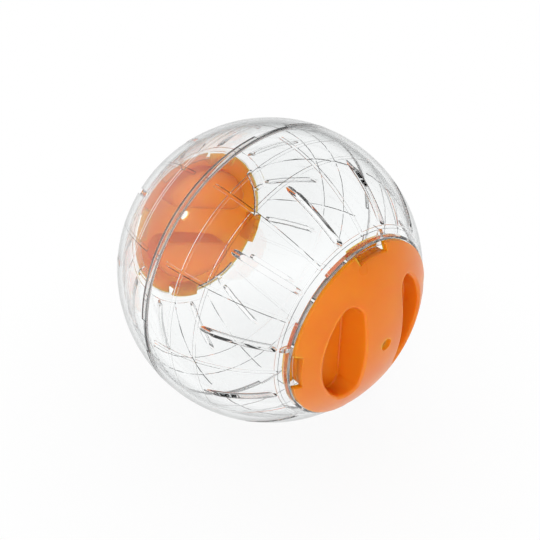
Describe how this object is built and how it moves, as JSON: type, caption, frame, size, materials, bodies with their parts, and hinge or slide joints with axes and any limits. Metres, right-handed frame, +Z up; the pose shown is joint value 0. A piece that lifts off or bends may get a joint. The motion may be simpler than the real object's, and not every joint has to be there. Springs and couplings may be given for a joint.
{
  "type": "hamster ball",
  "caption": "Clear vented exercise ball for a small pet, made of keyed half shells, with bayonet doors at both poles that have finger pockets beside a grip bar.",
  "frame": {"origin": "centre of the ball, on the door axis and in the plane of the seam", "axes": "+X along the door axis towards the right door, +Z up along that door's grip bar, +Y across it"},
  "size_m": [0.121, 0.12, 0.12],
  "materials": {
    "clear_shell": "clear polystyrene, polished",
    "orange_door": "orange polypropylene, gloss moulded"
  },
  "bodies": {
    "left_half": {"left_half": "clear_shell"},
    "right_half": {"right_half": "clear_shell"},
    "left_door": {"left_door": "orange_door"},
    "right_door": {"right_door": "orange_door"}
  },
  "joints": [
    {"name": "halves_pull_apart", "type": "slide", "parent": "left_half", "child": "right_half", "axis": [1, 0, 0], "range_m": [0, 0.08]},
    {"name": "right_door_turn", "type": "hinge", "parent": "right_half", "child": "right_door", "pos_m": [0.047, 0, 0], "axis": [1, 0, 0], "range_deg": [0, 45]},
    {"name": "left_door_turn", "type": "hinge", "parent": "left_half", "child": "left_door", "pos_m": [-0.047, 0, 0], "axis": [-1, 0, 0], "range_deg": [-23, 22]}
  ]
}
